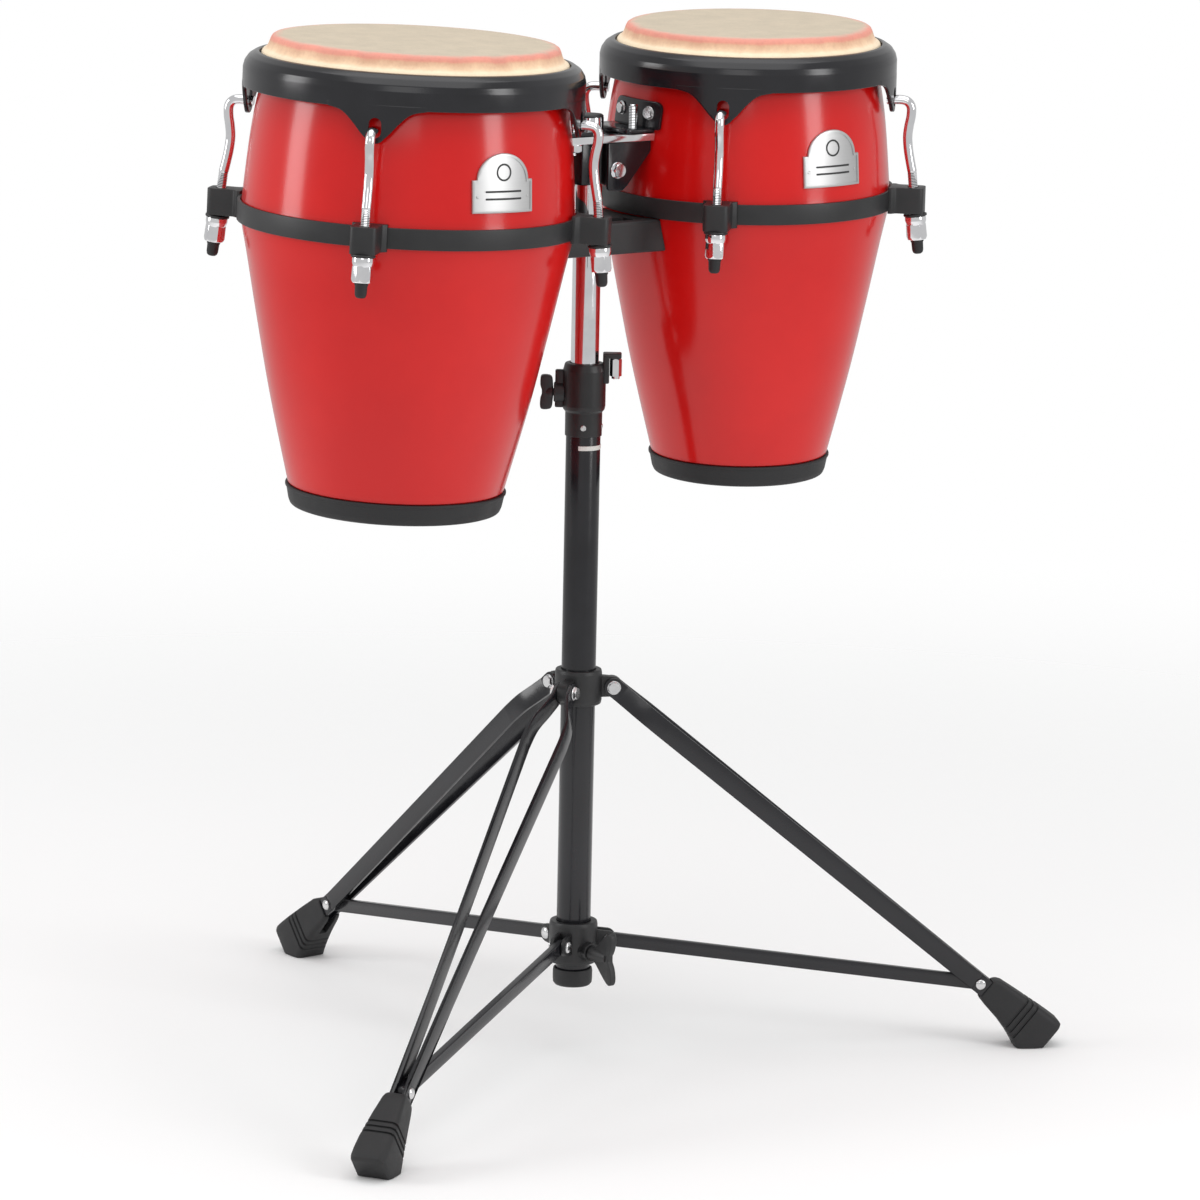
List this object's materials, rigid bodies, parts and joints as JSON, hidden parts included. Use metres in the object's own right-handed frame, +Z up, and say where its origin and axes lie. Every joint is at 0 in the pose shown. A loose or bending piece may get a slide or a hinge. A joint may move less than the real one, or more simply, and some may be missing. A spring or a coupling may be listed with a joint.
{
  "type": "bongo drums",
  "caption": "Pair of red barrel drums with skin heads and black hoops, side by side on a height-adjustable folding tripod stand.",
  "frame": {"origin": "centre of the bounding box, on the floor under the three feet", "axes": "+Z up; X runs through both drums, with the large drum towards -X; the badges and the two front legs are on the -Y side"},
  "size_m": [0.7046, 0.62, 0.8275],
  "materials": {
    "red_lacquer": "gloss red lacquer",
    "drum_skin": "natural animal skin, dry and slightly mottled",
    "black_coat": "semi-gloss black powder coat",
    "black_casting": "satin black cast surface",
    "black_plastic": "satin black moulding",
    "black_rubber": "matt black rubber",
    "chrome": "bright chrome plate",
    "brushed_plate": "brushed bright plate",
    "white_nylon": "plain moulded nylon"
  },
  "bodies": {
    "stand": {"outer_tube": "black_coat", "tube_end_cap": "black_rubber", "spider_collar": "black_casting", "mast_clamp": "black_casting", "clamp_key_bolt": "chrome", "leg_bolt_front_right": "chrome", "leg_bolt_back": "chrome", "leg_bolt_front_left": "chrome"},
    "clamp_wing": {"clamp_wing_bolt": "black_coat"},
    "collar": {"sliding_collar": "black_casting"},
    "collar_wing": {"collar_wing_bolt": "black_coat"},
    "bush": {"mast_bush": "white_nylon"},
    "leg_front_right": {"leg_front_right": "black_coat", "foot_front_right": "black_rubber"},
    "strut_front_right": {"strut_front_right": "black_coat"},
    "leg_back": {"leg_back": "black_coat", "foot_back": "black_rubber"},
    "strut_back": {"strut_back": "black_coat"},
    "leg_front_left": {"leg_front_left": "black_coat", "foot_front_left": "black_rubber"},
    "strut_front_left": {"strut_front_left": "black_coat"},
    "large_nut_1": {"large_nut_1": "chrome"},
    "large_nut_2": {"large_nut_2": "chrome"},
    "large_nut_3": {"large_nut_3": "chrome"},
    "large_nut_4": {"large_nut_4": "chrome"},
    "small_nut_1": {"small_nut_1": "chrome"},
    "small_nut_2": {"small_nut_2": "chrome"},
    "small_nut_3": {"small_nut_3": "chrome"},
    "small_nut_4": {"small_nut_4": "chrome"},
    "drums": {"mast": "chrome", "shelf_plate": "chrome", "holder_arm_small": "black_coat", "holder_arm_large": "black_coat", "holder_stud_large": "chrome", "holder_stud_small": "chrome", "bridge_block": "black_plastic", "large_shell": "red_lacquer", "large_head": "drum_skin", "large_hoop": "black_coat", "large_band": "black_coat", "large_base_ring": "black_rubber", "large_badge": "brushed_plate", "large_bracket": "black_coat", "large_rod_1": "chrome", "large_rod_2": "chrome", "large_rod_3": "chrome", "large_rod_4": "chrome", "small_shell": "red_lacquer", "small_head": "drum_skin", "small_hoop": "black_coat", "small_band": "black_coat", "small_base_ring": "black_rubber", "small_badge": "brushed_plate", "small_bracket": "black_coat", "small_rod_1": "chrome", "small_rod_2": "chrome", "small_rod_3": "chrome", "small_rod_4": "chrome"}
  },
  "joints": [
    {"name": "leg_front_right_fold", "type": "hinge", "parent": "stand", "child": "leg_front_right", "pos_m": [0.01904, -0.10382, 0.3013], "axis": [0.4756, 0.8796, 0], "range_deg": [0, 40.85]},
    {"name": "leg_back_fold", "type": "hinge", "parent": "stand", "child": "leg_back", "pos_m": [-0.00609, -0.06295, 0.3013], "axis": [-0.9996, -0.0279, 0], "range_deg": [0, 40.85]},
    {"name": "leg_front_left_fold", "type": "hinge", "parent": "stand", "child": "leg_front_left", "pos_m": [-0.02891, -0.10516, 0.3013], "axis": [0.524, -0.8517, 0], "range_deg": [0, 40.85]},
    {"name": "collar_slide", "type": "slide", "parent": "stand", "child": "collar", "axis": [0, 0, 1], "range_m": [0, 0.1203]},
    {"name": "strut_front_right_fold", "type": "hinge", "parent": "collar", "child": "strut_front_right", "pos_m": [0.01887, -0.10372, 0.0939], "axis": [0.4756, 0.8796, 0], "range_deg": [0, 69.43]},
    {"name": "strut_back_fold", "type": "hinge", "parent": "collar", "child": "strut_back", "pos_m": [-0.00609, -0.06316, 0.0939], "axis": [-0.9996, -0.0279, 0], "range_deg": [0, 69.43]},
    {"name": "strut_front_left_fold", "type": "hinge", "parent": "collar", "child": "strut_front_left", "pos_m": [-0.02874, -0.10505, 0.0939], "axis": [0.524, -0.8517, 0], "range_deg": [0, 69.43]},
    {"name": "collar_screw", "type": "hinge", "parent": "collar", "child": "collar_wing", "pos_m": [-0.00532, -0.10824, 0.088], "axis": [0, -1, 0], "range_deg": [-720, 0]},
    {"name": "clamp_screw", "type": "hinge", "parent": "stand", "child": "clamp_wing", "pos_m": [-0.01979, -0.07994, 0.538], "axis": [-0.8039, 0.5948, 0], "range_deg": [-720, 0]},
    {"name": "mast_swivel", "type": "hinge", "parent": "stand", "child": "bush", "pos_m": [-0.00532, -0.09064, 0.54], "axis": [0, 0, 1], "continuous": true},
    {"name": "mast_height", "type": "slide", "parent": "bush", "child": "drums", "axis": [0, 0, 1], "range_m": [-0.075, 0.16]},
    {"name": "large_nut_1_turn", "type": "hinge", "parent": "drums", "child": "large_nut_1", "pos_m": [-0.29073, -0.19902, 0.6671], "axis": [0.0967, 0.0447, 0.9943], "continuous": true},
    {"name": "large_nut_2_turn", "type": "hinge", "parent": "drums", "child": "large_nut_2", "pos_m": [-0.07737, -0.20635, 0.66244], "axis": [-0.0499, 0.0498, 0.9975], "continuous": true},
    {"name": "large_nut_3_turn", "type": "hinge", "parent": "drums", "child": "large_nut_3", "pos_m": [-0.06992, 0.00699, 0.66787], "axis": [-0.055, -0.0968, 0.9938], "continuous": true},
    {"name": "large_nut_4_turn", "type": "hinge", "parent": "drums", "child": "large_nut_4", "pos_m": [-0.28328, 0.01432, 0.67253], "axis": [0.0916, -0.1018, 0.9906], "continuous": true},
    {"name": "small_nut_1_turn", "type": "hinge", "parent": "drums", "child": "small_nut_1", "pos_m": [0.04476, -0.19024, 0.6629], "axis": [0.055, 0.0447, 0.9975], "continuous": true},
    {"name": "small_nut_2_turn", "type": "hinge", "parent": "drums", "child": "small_nut_2", "pos_m": [0.24018, -0.19717, 0.66681], "axis": [-0.0916, 0.0499, 0.9946], "continuous": true},
    {"name": "small_nut_3_turn", "type": "hinge", "parent": "drums", "child": "small_nut_3", "pos_m": [0.247, -0.00178, 0.67207], "axis": [-0.0967, -0.0967, 0.9906], "continuous": true},
    {"name": "small_nut_4_turn", "type": "hinge", "parent": "drums", "child": "small_nut_4", "pos_m": [0.05158, 0.00515, 0.66816], "axis": [0.0499, -0.1019, 0.9935], "continuous": true}
  ],
  "couplings": [
    {"joint": "leg_back_fold", "follows": "leg_front_right_fold", "ratio": 1},
    {"joint": "leg_front_left_fold", "follows": "leg_front_right_fold", "ratio": 1},
    {"joint": "collar_slide", "follows": "leg_front_right_fold", "m_per_rad": 0.16843},
    {"joint": "strut_front_right_fold", "follows": "leg_front_right_fold", "ratio": 1.6984},
    {"joint": "strut_back_fold", "follows": "leg_front_right_fold", "ratio": 1.6984},
    {"joint": "strut_front_left_fold", "follows": "leg_front_right_fold", "ratio": 1.6984}
  ]
}
